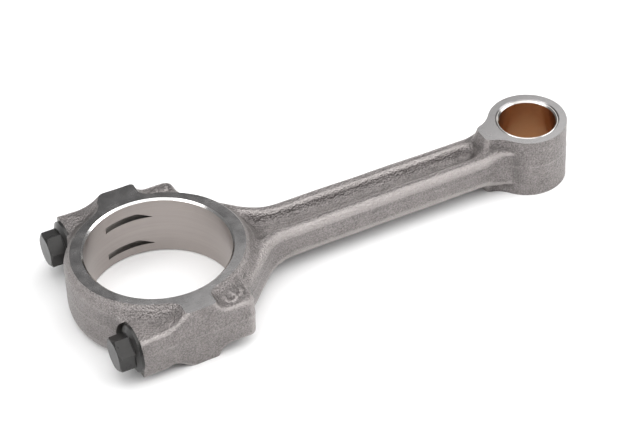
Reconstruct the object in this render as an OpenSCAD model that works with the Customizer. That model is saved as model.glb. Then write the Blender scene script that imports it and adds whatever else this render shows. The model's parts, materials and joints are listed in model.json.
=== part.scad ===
// Forged connecting rod with an I-section shank. The big end is split across the bore and its
// cap is held by two flange bolts. A lined bush is pressed into the small end.
// Sizes are in millimetres. The origin is the centre of the crankpin bore at mid width,
// +X runs to the small end and +Z runs along the bores.

/* [Bores] */
// Diameter of the crankpin housing bore
crank_bore_d = 60; // [50:0.5:72]
// Diameter of the piston pin bore in the bush
pin_bore_d = 24; // [20:0.5:29]
// Distance between the centres of the two bores
centre_distance = 170; // [141:1:204]
// Chamfer at both mouths of the crankpin bore
crank_bore_chamfer = 1.1; // [0.5:0.1:1.5]

/* [Big end] */
// Width across the machined thrust faces
rod_width = 28; // [23.5:0.5:34]
// Wall from the crankpin bore to the edge of the thrust face
face_wall = 5.4; // [4.5:0.1:6.5]
// Wall from the crankpin bore to the widest line of the ring
ring_wall = 8.2; // [7.5:0.1:9.8]
// Height of the ring's outer wall between its two sloping shoulders
ring_wall_height = 17; // [14:0.5:20]
// Height of the bolt bosses
boss_height = 18.6; // [16:0.2:22.2]
// Length of the rod's bolt bosses, from the parting plane
rod_boss_length = 23.4; // [19.5:0.1:28]
// Length of the cap's bolt bosses, from the parting plane
cap_boss_length = 26.6; // [22:0.1:32]
// Metal between the bolt axis and the boss's outer side
boss_side = 7.1; // [6:0.1:8.5]
// Extra width of the bosses at mid height, left by the forging draft
boss_draft = 0.8; // [0:0.1:1.2]
// Rounding of the upright corners of the bosses
boss_corner_r = 3.5; // [2:0.1:4.2]
// Length of the machined pads on the rod, from the parting plane
rod_pad_length = 6.8; // [5.5:0.1:8.2]
// Length of the machined pad on the cap, on the -Y side
near_pad_length = 6; // [5:0.1:7.2]
// Length of the machined pad on the cap, on the +Y side
far_pad_length = 11; // [9:0.1:13.2]

/* [Bearing notches] */
// Radius of the cutter that makes the notches
notch_cutter_r = 17; // [14:0.5:20]
// Depth of the notches in the bore wall
notch_depth = 2; // [1:0.1:2.4]
// Width of each notch along the bore
notch_width = 2.6; // [2:0.1:3.2]
// Height of the upper notch above mid width
upper_notch_z = 6.2; // [4.8:0.1:7]
// Depth of the lower notch below mid width
lower_notch_z = 7.9; // [6.6:0.1:8.8]

/* [Shank] */
// Half width of the shank beside the big end
shank_half_big = 9.1; // [7.6:0.1:11]
// Half width of the shank beside the small end
shank_half_small = 8.3; // [7:0.1:10]
// Height of the shank
shank_height = 14.8; // [12.4:0.1:17.8]
// Width of each flange of the I-section
flange_width = 4; // [3.3:0.1:4.8]
// Thickness of the web of the I-section
web_thickness = 5; // [4:0.1:6]
// Wall from the crankpin bore to the flanges where they pass the ring
flare_wall = 9.2; // [8.5:0.1:11]
// Radius where the flare meets the shank
flare_r = 20; // [16:0.5:24]
// Step from the big end's thrust face out to the slope that falls into the channel
channel_slope_step = 1.6; // [0.8:0.1:3]
// Metal between the end of the channel and the machined tail of the small end
channel_end_wall = 1.8; // [1:0.1:3]

/* [Small end] */
// Wall of the small end around the bush
eye_wall = 3.7; // [3.1:0.1:4.5]
// Radius where the shank meets the small end
eye_blend_r = 20; // [16:0.5:24]
// Height of the shank where it meets the small end
neck_height = 17.6; // [15:0.1:20]
// Length of the ramp up to that height
neck_ramp = 8; // [5:0.5:12]
// How far the ramp starts before the machined tail
neck_lead = 6; // [4:0.5:8]
// Half width of the machined tail of the small end
tail_half = 5.3; // [4.4:0.1:6.4]
// Length of the machined tail, from the pin axis
tail_length = 22.2; // [20.5:0.1:26]
// How far the tail's foot reaches beyond its machined face
tail_foot = 2; // [1:0.1:3]
// Growth of the tail's half width on its way to the small end
tail_spread = 1.2; // [0.5:0.1:2]
// Chamfer at both mouths of the bore for the bush
eye_chamfer = 0.5; // [0.2:0.1:0.8]

/* [Bush] */
// Thickness of the bush's steel backing
backing_wall = 0.65; // [0.5:0.05:0.9]
// Thickness of the bush's bronze lining
lining_wall = 0.35; // [0.25:0.05:0.5]
// How far the bush ends lie below the thrust faces
bush_recess = 0.2; // [0.1:0.05:0.5]
// Chamfer at both mouths of the bush
bush_chamfer = 0.6; // [0.3:0.05:0.8]

/* [Bolts] */
// Distance from the wall of the crankpin bore to a bolt axis
bolt_land = 5.3; // [5.1:0.1:6.3]
// Diameter of the bolts
bolt_d = 9; // [7.5:0.5:9]
// Radial clearance between the bolts and their holes
bolt_clearance = 0.05; // [0.03:0.01:0.09]
// Length of a bolt under its head
bolt_length = 46; // [40:0.5:48]
// Length of the threaded end of a bolt
thread_length = 19; // [12:0.5:20]
// Pitch of the thread
thread_pitch = 1; // [0.75:0.25:1.25]
// Depth of the thread
thread_depth = 0.6; // [0.4:0.05:0.7]
// Width across the flats of the hexagon
hex_af = 13; // [11:0.5:15]
// Height of the hexagon above the flange
hex_height = 6.7; // [5.5:0.1:8]
// How far inside the flats the chamfer on the end of the head starts
hex_inset = 0.3; // [0.1:0.1:0.8]
// Diameter of the bolt flange
flange_d = 19.8; // [17:0.2:22]
// Thickness of the bolt flange at its rim
flange_rim = 1.2; // [0.8:0.1:1.6]
// Height of the bolt flange where it meets the hexagon
flange_height = 2.4; // [2:0.1:3]
// Width of the ledge between the flats and the cone of the flange
flange_ledge = 0.4; // [0.2:0.1:0.8]
// Radial room around the flange where the cap is spot-faced
seat_clearance = 1; // [0.6:0.1:1.6]

/* [Hidden] */
$fn = 96;
// Steps in each arc of an outline
ARC_STEPS = 10;
// How far the shank and the tail run inside the round wall of the small end
EYE_OVERLAP = 0.4;
// How far a cutter reaches past the metal that it cuts
OVERCUT = 1;
// Share of the pitch left flat at the crest of the thread
THREAD_CREST = 0.2;
// Rise of the chamfer on the bolt's head for each millimetre outwards
HEX_CHAMFER_SLOPE = 0.7;
// Turn of each bolt's hexagon, as it was left when tightened
NEAR_BOLT_TURN = 6;
FAR_BOLT_TURN = 14;
// Smallest chamfer left on the bush's steel backing
MIN_CHAMFER = 0.1;

half_width = rod_width / 2;
crank_r = crank_bore_d / 2;
face_r = crank_r + face_wall;
ring_r = crank_r + ring_wall;
bolt_y = crank_r + bolt_land;
boss_half = bolt_y + boss_side;
lining_r = pin_bore_d / 2 + lining_wall;
bush_r = lining_r + backing_wall;
eye_r = bush_r + eye_wall;
bush_half = half_width - bush_recess;
backing_chamfer = max(bush_chamfer - lining_wall, MIN_CHAMFER);
bolt_hole_r = bolt_d / 2 + bolt_clearance;
channel_half_small = shank_half_small - flange_width;
channel_end_x = centre_distance - tail_length - channel_half_small - channel_end_wall;
reach = centre_distance + 2 * boss_half;

// The flanges leave the ring at 45 degrees, along the line x + y = flare_line
flare_line = (crank_r + flare_wall) * sqrt(2);
flare_centre = [flare_line + flare_r * sqrt(2) - shank_half_big - flare_r, shank_half_big + flare_r];
eye_blend_y = shank_half_small + eye_blend_r;
eye_blend_x = centre_distance - sqrt(pow(eye_r + eye_blend_r, 2) - pow(eye_blend_y, 2));
eye_blend_end = 360 - atan2(eye_blend_y, centre_distance - eye_blend_x);

function arc(centre, r, from, to) =
    [for (i = [0 : ARC_STEPS]) let (a = from + (to - from) * i / ARC_STEPS)
        [centre[0] + r * cos(a), centre[1] + r * sin(a)]];
function mirrored(points) = [for (i = [len(points) - 1 : -1 : 0]) [points[i][0], -points[i][1]]];
function closed(points) = concat(points, mirrored(points));

// Upper half of the outer edge of the shank, from the bosses to the small end
shank_edge = concat(
    [[0, flare_line - rod_boss_length], [rod_boss_length, flare_line - rod_boss_length]],
    arc(flare_centre, flare_r, 225, 270),
    arc([eye_blend_x, eye_blend_y], eye_blend_r, 270, eye_blend_end),
    [[centre_distance, eye_r - EYE_OVERLAP]]);

// Upper half of the edge of the channel, one flange width inside the shank's edge
channel_edge = concat(
    arc(flare_centre, flare_r + flange_width, 225, 270),
    arc([channel_end_x, 0], channel_half_small, 90, 0));

module to_rod_side() {
    intersection() {
        children();
        translate([0, -reach, -reach]) cube([reach, 2 * reach, 2 * reach]);
    }
}

module to_cap_side() {
    intersection() {
        children();
        translate([-reach, -reach, -reach]) cube([reach, 2 * reach, 2 * reach]);
    }
}

// Full height slab of a plan outline
module slab(points, half = half_width) {
    translate([0, 0, -half]) linear_extrude(height = 2 * half) polygon(points);
}

// Prism across the rod with a side outline given as [x, z] points
module side_prism(points) {
    translate([0, reach / 2, 0]) rotate([90, 0, 0]) linear_extrude(height = reach) polygon(points);
}

module ring_body() {
    rotate_extrude() polygon([
        [0, -half_width], [face_r, -half_width], [ring_r, -ring_wall_height / 2],
        [ring_r, ring_wall_height / 2], [face_r, half_width], [0, half_width]]);
}

// Bolt bosses of one half of the big end, with drafted sides and rounded far corners
module bosses(length) {
    outer = boss_half + boss_draft / 2;
    inner = boss_half - boss_draft / 2;
    corner = [length - boss_corner_r, outer - boss_corner_r];
    intersection() {
        rotate([90, 0, 90]) linear_extrude(height = length) polygon([
            [outer, 0], [inner, boss_height / 2], [-inner, boss_height / 2],
            [-outer, 0], [-inner, -boss_height / 2], [inner, -boss_height / 2]]);
        slab(closed(concat([[-OVERCUT, outer]], arc(corner, boss_corner_r, 90, 0))), boss_height);
    }
}

// Raised pad with machined faces, from y = 0 to the side given
module pad(length, side) {
    inner = boss_half - boss_draft / 2;
    translate([length < 0 ? length : 0, side < 0 ? -inner : 0, -half_width])
        cube([abs(length), inner, rod_width]);
}

module crank_bore() {
    cylinder(r = crank_r, h = rod_width + 2 * OVERCUT, center = true);
    for (side = [0, 1]) mirror([0, 0, side])
        translate([0, 0, half_width - crank_bore_chamfer]) cylinder(
            r1 = crank_r, r2 = crank_r + crank_bore_chamfer + OVERCUT, h = crank_bore_chamfer + OVERCUT);
}

module bearing_notches() {
    for (z = [upper_notch_z, -lower_notch_z])
        translate([0, crank_r + notch_depth - notch_cutter_r, z])
            cylinder(r = notch_cutter_r, h = notch_width, center = true);
}

module bolt_holes() {
    for (side = [-1, 1]) translate([-reach, side * bolt_y, 0]) rotate([0, 90, 0])
        cylinder(r = bolt_hole_r, h = 2 * reach);
}

// The channel of the I-section on one side, ending at a slope that falls from the ring
module channel() {
    floor_z = web_thickness / 2;
    slope_top = face_r + channel_slope_step;
    slope_foot = slope_top + half_width - floor_z;
    difference() {
        translate([0, 0, floor_z]) linear_extrude(height = reach) polygon(closed(channel_edge));
        translate([0, 0, floor_z - OVERCUT])
            cylinder(r1 = slope_foot + OVERCUT, r2 = slope_top, h = half_width - floor_z + OVERCUT);
    }
}

module shank() {
    half_boss = boss_height / 2;
    half_shank = shank_height / 2;
    half_neck = neck_height / 2;
    flare_end = flare_centre[0];
    neck_start = centre_distance - tail_length - neck_lead;
    neck_end = neck_start + neck_ramp;
    intersection() {
        slab(closed(shank_edge));
        side_prism([
            [0, -half_boss], [rod_boss_length, -half_boss], [flare_end, -half_shank],
            [neck_start, -half_shank], [neck_end, -half_neck], [centre_distance, -half_neck],
            [centre_distance, half_neck], [neck_end, half_neck], [neck_start, half_shank],
            [flare_end, half_shank], [rod_boss_length, half_boss], [0, half_boss]]);
    }
}

// Machined tail that runs from the small end a little way along the shank
module tail() {
    front = centre_distance - tail_length;
    foot = front - tail_foot;
    corner_r = tail_half / 2;
    intersection() {
        slab(closed(concat(
            arc([front + corner_r, tail_half - corner_r], corner_r, 180, 90),
            [[centre_distance - eye_r + EYE_OVERLAP, tail_half + tail_spread],
             [centre_distance, eye_r - EYE_OVERLAP]])));
        side_prism([
            [front, -half_width], [centre_distance, -half_width], [centre_distance, half_width],
            [front, half_width], [foot, shank_height / 2], [foot, -shank_height / 2]]);
    }
}

module eye_bore() {
    translate([centre_distance, 0, 0]) {
        cylinder(r = bush_r, h = rod_width + 2 * OVERCUT, center = true);
        for (side = [0, 1]) mirror([0, 0, side]) translate([0, 0, half_width - eye_chamfer])
            cylinder(r1 = bush_r, r2 = bush_r + eye_chamfer + OVERCUT, h = eye_chamfer + OVERCUT);
    }
}

module rod_forging() {
    color([0.56, 0.54, 0.52]) difference() {
        union() {
            to_rod_side() ring_body();
            bosses(rod_boss_length);
            for (side = [-1, 1]) pad(rod_pad_length, side);
            shank();
            tail();
            translate([centre_distance, 0, 0]) cylinder(r = eye_r, h = rod_width, center = true);
        }
        for (side = [0, 1]) mirror([0, 0, side]) channel();
        crank_bore();
        bearing_notches();
        bolt_holes();
        eye_bore();
    }
}

module big_end_cap() {
    color([0.54, 0.52, 0.5]) difference() {
        union() {
            to_cap_side() ring_body();
            mirror([1, 0, 0]) bosses(cap_boss_length);
            pad(-near_pad_length, -1);
            pad(-far_pad_length, 1);
        }
        crank_bore();
        bearing_notches();
        bolt_holes();
        for (side = [-1, 1]) translate([-cap_boss_length, side * bolt_y, 0]) rotate([0, -90, 0])
            cylinder(r = flange_d / 2 + seat_clearance, h = reach);
    }
}

// Tube on the pin axis with both mouths chamfered by the same amount
module bush_tube(inner_r, outer_r, chamfer) {
    translate([centre_distance, 0, 0]) rotate_extrude() polygon([
        [inner_r + chamfer, -bush_half], [outer_r, -bush_half], [outer_r, bush_half],
        [inner_r + chamfer, bush_half], [inner_r, bush_half - chamfer], [inner_r, -bush_half + chamfer]]);
}

// The mouth chamfer cuts the whole lining and part of the backing
module bush_backing() {
    color([0.78, 0.77, 0.74]) bush_tube(lining_r, bush_r, backing_chamfer);
}

module bush_lining() {
    flush = bush_half - backing_chamfer;
    color([0.62, 0.42, 0.24]) translate([centre_distance, 0, 0]) rotate_extrude() polygon([
        [pin_bore_d / 2, -flush + lining_wall], [lining_r, -flush], [lining_r, flush],
        [pin_bore_d / 2, flush - lining_wall]]);
}

// One cap bolt: flanged hexagon head, plain shank and ring-grooved threaded end
module cap_bolt(side, turn) {
    r = bolt_d / 2;
    tip = thread_depth;
    turns = floor((thread_length - tip) / thread_pitch);
    start = bolt_length - tip - turns * thread_pitch;
    half_crest = THREAD_CREST / 2;
    grooves = [for (i = [0 : turns - 1]) each [
        [r, start + (i + half_crest) * thread_pitch],
        [r - thread_depth, start + (i + 0.5) * thread_pitch],
        [r, start + (i + 1 - half_crest) * thread_pitch]]];
    head_end = -flange_height - hex_height;
    chamfer_r = hex_af / 2 - hex_inset;
    chamfer_run = 2 * hex_af;
    color([0.2, 0.2, 0.2]) translate([-cap_boss_length, side * bolt_y, 0]) rotate([0, 90, 0]) {
        rotate_extrude() polygon(concat(
            [[0, -flange_height], [hex_af / 2 + flange_ledge, -flange_height], [flange_d / 2, -flange_rim],
             [flange_d / 2, 0], [r, 0]],
            grooves,
            [[r, bolt_length - tip], [r - tip, bolt_length], [0, bolt_length]]));
        intersection() {
            rotate([0, 0, turn]) translate([0, 0, head_end])
                cylinder(d = hex_af / cos(30), h = hex_height + flange_height / 2, $fn = 6);
            translate([0, 0, head_end]) cylinder(
                r1 = chamfer_r, r2 = chamfer_r + chamfer_run, h = chamfer_run * HEX_CHAMFER_SLOPE);
        }
    }
}

module near_cap_bolt() {
    cap_bolt(-1, NEAR_BOLT_TURN);
}

module far_cap_bolt() {
    cap_bolt(1, FAR_BOLT_TURN);
}

rod_forging();
big_end_cap();
bush_backing();
bush_lining();
near_cap_bolt();
far_cap_bolt();
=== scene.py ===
"""Forged connecting rod: the finished look of its forgings, bush and cap bolts.

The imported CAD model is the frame. It gives the bores, the faces and the places of the bolts. Here the
rod and its cap are formed as one forging, machined, and split at the parting plane, as a real rod is.
The bush, the bolts, their finishes and a plain studio follow. Lengths are in metres, the bores run
along Z, and the small end lies on +X.
"""

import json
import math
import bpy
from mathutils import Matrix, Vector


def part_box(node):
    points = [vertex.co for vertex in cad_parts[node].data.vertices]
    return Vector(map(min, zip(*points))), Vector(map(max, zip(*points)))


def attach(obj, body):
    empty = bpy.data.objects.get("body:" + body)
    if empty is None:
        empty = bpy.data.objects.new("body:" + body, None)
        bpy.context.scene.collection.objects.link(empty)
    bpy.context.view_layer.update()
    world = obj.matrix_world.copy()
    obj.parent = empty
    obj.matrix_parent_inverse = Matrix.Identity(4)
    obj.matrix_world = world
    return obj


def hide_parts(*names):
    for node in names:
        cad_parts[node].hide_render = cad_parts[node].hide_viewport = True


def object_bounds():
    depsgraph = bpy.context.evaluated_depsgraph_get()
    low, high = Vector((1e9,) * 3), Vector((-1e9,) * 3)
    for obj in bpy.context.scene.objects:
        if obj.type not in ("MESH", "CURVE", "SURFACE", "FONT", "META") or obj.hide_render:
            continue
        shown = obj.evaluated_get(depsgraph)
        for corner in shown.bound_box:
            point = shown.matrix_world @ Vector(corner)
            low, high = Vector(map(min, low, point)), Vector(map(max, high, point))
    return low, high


bl_info = {
    "name": "Forged Connecting Rod",
    "version": (1, 0, 0),
    "blender": (4, 5, 0),
    "location": "View3D > Sidebar > Connecting Rod",
    "description": "Builds a forged connecting rod with its cap, bush and cap bolts",
    "category": "Add Mesh",
}

import bmesh
import bpy
import numpy as np
import openvdb as vdb
from bpy.props import FloatProperty, FloatVectorProperty, IntProperty, PointerProperty
from mathutils import Matrix, Vector

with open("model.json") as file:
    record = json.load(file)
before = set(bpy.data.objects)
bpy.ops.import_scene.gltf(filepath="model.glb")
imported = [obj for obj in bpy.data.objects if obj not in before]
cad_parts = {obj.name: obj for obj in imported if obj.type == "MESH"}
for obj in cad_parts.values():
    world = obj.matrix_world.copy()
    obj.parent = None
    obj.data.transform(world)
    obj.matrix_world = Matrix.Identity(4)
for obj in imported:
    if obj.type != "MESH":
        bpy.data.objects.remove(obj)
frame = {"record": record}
CAD_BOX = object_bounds()

MM = 0.001

# Sizes that the CAD model has settled
MOUNTS = {mount["name"]: mount for mount in frame["record"]["mounts"]}
CRANK_R = MOUNTS["crankpin_bore"]["dims"]["r_mm"] * MM
PIN_R = MOUNTS["piston_pin_bore"]["dims"]["r_mm"] * MM
PIN_X = MOUNTS["piston_pin_bore"]["pos_m"][0]
ROD_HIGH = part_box("rod_forging")[1]
CAP_LOW, CAP_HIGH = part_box("big_end_cap")
BACKING_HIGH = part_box("bush_backing")[1]
LINING_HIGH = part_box("bush_lining")[1]
BOLT_LOW, BOLT_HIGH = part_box("far_cap_bolt")
HALF_WIDTH = ROD_HIGH.z
EYE_R = ROD_HIGH.x - PIN_X
RING_R = -CAP_LOW.x
BOSS_HALF = CAP_HIGH.y
BUSH_R = BACKING_HIGH.x - PIN_X
BOLT_Y = (BOLT_LOW.y + BOLT_HIGH.y) / 2
FLANGE_R = (BOLT_HIGH.y - BOLT_LOW.y) / 2
NEAR, FAR = -1, 1

# Further out than any face of the rod, for cutters that run past it
OUTSIDE = 300 * MM


def length(name, millimetres, description):
    """A length property whose default is given in millimetres."""
    return FloatProperty(
        name=name, description=description, default=millimetres * MM, min=0, unit="LENGTH", precision=5)


def angle(name, degrees, description):
    """An angle property whose default is given in degrees."""
    return FloatProperty(
        name=name, description=description, default=math.radians(degrees), unit="ROTATION")


def colour(name, value, description):
    """A colour property in linear RGB."""
    return FloatVectorProperty(
        name=name, description=description, default=value, size=3, min=0, max=1, subtype="COLOR")


def factor(name, value, description):
    """A property from 0 to 1."""
    return FloatProperty(name=name, description=description, default=value, min=0, max=1, subtype="FACTOR")


class ForgingSettings(bpy.types.PropertyGroup):
    """Shape of the forging that becomes the rod and its cap."""

    cell: length("Cell", 0.55, "Edge of the cells in which the forging is formed")
    face_r: length("Face radius", 34.7, "Mean radius of the edge of the thrust faces")
    face_swell: length("Face swell", 1.1, "Extra face radius towards the crown and the shank")
    shoulder: angle("Shoulder", 35, "Slope of the ring's shoulder at the crown")
    shoulder_rise: angle("Shoulder rise", 18, "Extra slope of the shoulder beside the bosses")
    shoulder_round: length("Shoulder round", 3, "Rounding between shoulder and ring wall")
    boss_height: length("Boss height", 9.3, "Half height of the bolt bosses")
    boss_draft: FloatProperty(
        name="Boss draft", description="Narrowing of the bosses for each unit of height", default=0.086)
    cap_spread: FloatProperty(
        name="Cap spread", description="Widening of the cap's bosses towards the bolt heads", default=0.035)
    rod_boss_end: length("Rod boss end", 23.4, "End of the rod's bosses, from the parting plane")
    cap_boss_raw: length("Raw cap boss end", 28.2, "End of the cap's bosses before the seats are milled")
    corner_round: length("Boss corner", 3.5, "Rounding of the upright corners of the bosses")
    edge_round: length("Boss edge", 1.1, "Rounding of the outer edges of the bosses")
    root_round: length("Boss root", 3, "Fillet between the bosses and the ring")
    lug_depth: length("Lug depth", 1.1, "Extra depth of the cap's bosses below the bolt heads")
    lug_neck: length("Lug neck", 0.9, "Depth missing between that lug and the pad")
    rod_pad_end: length("Rod pad end", 6.9, "End of the pads on the rod")
    near_pad_end: length("Near pad end", 6.2, "End of the near pad on the cap")
    far_pad_end: length("Far pad end", 11, "End of the far pad on the cap")
    far_pad_trim: length("Far pad trim", 3, "How much shorter the far pad is at its outer edge")
    rod_pad_lean: angle("Rod pad lean", 22, "Lean of the pads' flanks on the rod")
    cap_pad_lean: angle("Cap pad lean", 50, "Lean of the pads' flanks on the cap")
    pad_fillet: length("Pad fillet", 3, "Fillet between a pad's flank and its boss")
    flare_wall: length("Flare wall", 9.2, "Wall from the crank bore to the flanges beside the ring")
    flare_r: length("Flare radius", 20, "Radius where the flare meets the shank")
    half_big: length("Shank half width", 9.1, "Half width of the shank beside the big end")
    half_small: length("Shank half width at the eye", 8.3, "Half width of the shank beside the small end")
    half_height: length("Shank half height", 7.4, "Half height of the shank")
    root_height: length("Root half height", 8.6, "Half height of the flanges beside the ring")
    neck_height: length("Neck half height", 8.9, "Half height of the shank at the small end")
    neck_x: length("Neck place", 148, "Middle of the rise to the neck")
    neck_round: length("Neck round", 2, "Fillet between the top of the shank and the small end")
    eye_blend_r: length("Eye blend", 20, "Radius where the shank meets the small end")
    flange_width: length("Flange width", 4, "Width of the flanges of the I-section")
    flange_round: length("Flange round", 1, "Rounding of the outer edges of the flanges")
    flank_bulge: length("Flank bulge", 1.3, "How far the flanks stand out below the bevel of the flanges")
    bevel_lean: angle("Bevel lean", 32, "Lean of the bevel between the flanges and the flanks")
    bevel_round: length("Bevel round", 0.6, "Rounding between the bevel and the flanks")
    lip_round: length("Lip round", 1.2, "Rounding of the edges of the channel")
    half_web: length("Half web", 2.5, "Half thickness of the web")
    wall_lean: FloatProperty(
        name="Wall lean", description="Outward lean of the channel's walls for each unit of height", default=0.3)
    floor_round: length("Floor round", 2.8, "Fillet between the channel's walls and its floor")
    ramp_foot: length("Ramp foot", 43.8, "Radius where the ring's slope reaches the channel floor")
    ramp_run: FloatProperty(
        name="Ramp run", description="Run of the ring's slope for each unit of height", default=0.66)
    channel_end: length("Channel end", 145.8, "End of the channel at mid height of the flanges")
    channel_ramp: FloatProperty(
        name="Channel ramp", description="Run of the channel's end for each unit of height", default=0.8)
    tail_front: length("Tail front", 22.2, "Front of the machined tail, from the pin axis")
    tail_half: length("Tail half width", 5.3, "Half width of the machined tail")
    tail_lean: angle("Tail lean", 20, "Lean of the tail's front")
    tail_corner: length("Tail corner", 2.5, "Rounding of the tail's upright corners")
    tail_fillet: length("Tail fillet", 5, "Fillet between the tail and the small end")
    flash_height: length("Flash", 0.14, "Height of the trimmed flash line")
    flash_z: length("Flash place", 1.2, "Height of the flash line above mid width")
    ripple: length("Ripple", 0.07, "Unevenness of the forged skin")
    seed: IntProperty(name="Seed", description="Seed of the unevenness", default=7)


class MachiningSettings(bpy.types.PropertyGroup):
    """Cuts that machine the forging."""

    crank_chamfer: length("Crank bore chamfer", 0.8, "Chamfer at both mouths of the crank bore")
    eye_chamfer: length("Eye chamfer", 0.5, "Chamfer at both mouths of the bore for the bush")
    notch_cutter_r: length("Notch cutter", 17, "Radius of the cutter that makes the bearing notches")
    notch_depth: length("Notch depth", 2, "Depth of the bearing notches")
    notch_width: length("Notch width", 2.8, "Width of the bearing notches")
    notch_end: length("Notch end", 11.6, "Square end of the notches in the cap, from the parting plane")
    notch_taper: length("Notch taper", 3.2, "Where the notches in the rod start to taper")
    upper_notch: length("Upper notch", 6.2, "Height of the upper notch above mid width")
    lower_notch: length("Lower notch", 7.9, "Depth of the lower notch below mid width")
    notch_stations: IntProperty(
        name="Notch stations", description="Sections along each bearing notch", default=49, min=8)
    bolt_hole_r: length("Bolt hole", 4.55, "Radius of the bolt holes")
    seat_x: length("Seat", 26.6, "Distance from the parting plane to the bolt seats")
    seat_r: length("Seat radius", 10.9, "Radius of the spot faces round the bolt heads")


class BushSettings(bpy.types.PropertyGroup):
    """Edges of the pressed bush."""

    mouth_chamfer: length("Mouth chamfer", 0.6, "Chamfer at both mouths of the bush")
    edge: length("Outer edge", 0.2, "Break on the bush's outer edges")
    columns: IntProperty(name="Columns", description="Faces round the bush", default=144, min=24)


class BoltSettings(bpy.types.PropertyGroup):
    """Shape of the two cap bolts."""

    radius: length("Radius", 4.5, "Radius of the shank")
    thread_length: length("Thread length", 19, "Length of the rolled thread")
    pitch: length("Pitch", 1, "Pitch of the thread")
    thread_depth: length("Thread depth", 0.6, "Depth of the thread")
    across_flats: length("Across flats", 13, "Width across the flats of the hexagon")
    hex_height: length("Hexagon height", 6.7, "Height of the hexagon above the flange")
    hex_inset: length("Hexagon inset", 0.3, "How far inside the flats the end chamfer starts")
    chamfer_slope: FloatProperty(
        name="Chamfer slope", description="Rise of the end chamfer for each unit outwards", default=0.7)
    flange_rim: length("Flange rim", 1.2, "Thickness of the flange at its rim")
    flange_height: length("Flange height", 2.4, "Height of the flange at the hexagon")
    flange_ledge: length("Flange ledge", 0.4, "Ledge between the flats and the flange's cone")
    edge_break: length("Edge break", 0.26, "Width of the worn edges")
    near_turn: angle("Near turn", 6, "Turn of the near bolt's hexagon")
    far_turn: angle("Far turn", 14, "Turn of the far bolt's hexagon")
    hex_corner: factor("Hexagon corner", 0.985, "Part of a sharp corner's cosine at which the corners are cut off")
    columns: IntProperty(name="Columns", description="Faces round a bolt, a multiple of six", default=72, min=24)
    rows: IntProperty(name="Rows", description="Points along the threaded shank", default=206, min=24)


class FinishSettings(bpy.types.PropertyGroup):
    """Colours and roughness of the finishes."""

    forged: colour("Forged steel", (0.24, 0.222, 0.217), "Colour of the shot-blasted forging")
    ground: colour("Ground steel", (0.27, 0.263, 0.262), "Colour of the ground thrust faces")
    honed: colour("Honed steel", (0.37, 0.335, 0.318), "Colour of the honed crank bore")
    polished: colour("Polished steel", (0.66, 0.65, 0.64), "Colour of the polished chamfer")
    drilled: colour("Drilled steel", (0.22, 0.21, 0.20), "Colour of drilled and milled cuts")
    bush: colour("Bush steel", (0.55, 0.53, 0.51), "Colour of the bush's rim")
    bronze: colour("Bronze", (0.52, 0.30, 0.16), "Colour of the bush's lining")
    black: colour("Black oxide", (0.036, 0.035, 0.034), "Colour of the bolts")
    worn: colour("Worn oxide", (0.36, 0.34, 0.33), "Colour of the bolts' worn edges")
    grain: length("Grain", 0.65, "Size of the marks left by blasting")


class StageSettings(bpy.types.PropertyGroup):
    """Floor, light and camera."""

    aim: FloatVectorProperty(
        name="Aim", description="Point that the camera looks at", default=(0.073, 0.0021, 0), unit="LENGTH")
    distance: length("Distance", 1062.8, "Distance from the camera to that point")
    azimuth: angle("Azimuth", -25, "Direction of the camera round the rod")
    elevation: angle("Elevation", 40.31, "Height of the camera above the horizon")
    roll: angle("Roll", -2.53, "Roll of the camera")
    lens: FloatProperty(name="Lens", description="Focal length in millimetres", default=144.93, unit="CAMERA")
    floor: colour("Floor", (0.92, 0.92, 0.92), "Colour of the floor")
    sky: factor("Sky", 0.26, "Brightness of the surroundings")


# ---- Solid shapes as fields: negative inside, and in metres near the surface ----


def round_union(a, b, r):
    """Both shapes, with a fillet of radius r where they meet."""
    return np.maximum(r, np.minimum(a, b)) - np.hypot(np.maximum(r - a, 0), np.maximum(r - b, 0))


def round_meet(a, b, r):
    """What both shapes share, with an edge of radius r."""
    return np.minimum(-r, np.maximum(a, b)) + np.hypot(np.maximum(r + a, 0), np.maximum(r + b, 0))


def round_cut(a, b, r):
    """Shape a without shape b, with an edge of radius r."""
    return round_meet(a, -b, r)


def ease(value, start, end):
    """Rises smoothly from 0 at start to 1 at end."""
    t = np.clip((value - start) / (end - start), 0, 1)
    return t * t * (3 - 2 * t)


class Block:
    """Corners of a block of cubic cells, as coordinate arrays that broadcast together."""

    def __init__(self, low, high, cell):
        self.low, self.cell = np.array(low), cell
        spans = [np.arange(a, b + cell, cell, dtype=np.float32) for a, b in zip(low, high)]
        self.x, self.y, self.z = np.meshgrid(*spans, indexing="ij", sparse=True)
        self.up = np.abs(self.z)
        self.out = np.abs(self.y)

    def mesh(self, name, field):
        """A closed mesh of the surface where the field is zero."""
        grid = vdb.FloatGrid(float(field.max() / self.cell))
        grid.copyFromArray(np.ascontiguousarray(field / self.cell, dtype=np.float32))
        points, quads = grid.convertToQuads(isovalue=0.0)
        points = points * self.cell + self.low
        mesh = bpy.data.meshes.new(name)
        mesh.from_pydata(points.tolist(), [], quads.tolist())
        return mesh

    def sample(self, values, points):
        """The values at the corners nearest to the points."""
        index = np.rint((points - self.low) / self.cell).astype(int)
        index = np.clip(index, 0, np.array(values.shape) - 1)
        return values[index[:, 0], index[:, 1], index[:, 2]]


def ring_field(s, block):
    """Ring of the big end, whose shoulders roll over from the thrust faces to a drafted wall."""
    radius = np.hypot(block.x, block.y)
    swell = (block.x ** 2 - block.y ** 2) / np.maximum(radius, block.cell) ** 2
    face = s.face_r + s.face_swell * swell
    slope = s.shoulder + s.shoulder_rise * (1 - swell) / 2
    shoulder = (radius - face) * np.sin(slope) + (block.up - HALF_WIDTH) * np.cos(slope)
    return round_meet(radius - RING_R + 0 * block.z, shoulder, s.shoulder_round)


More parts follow.
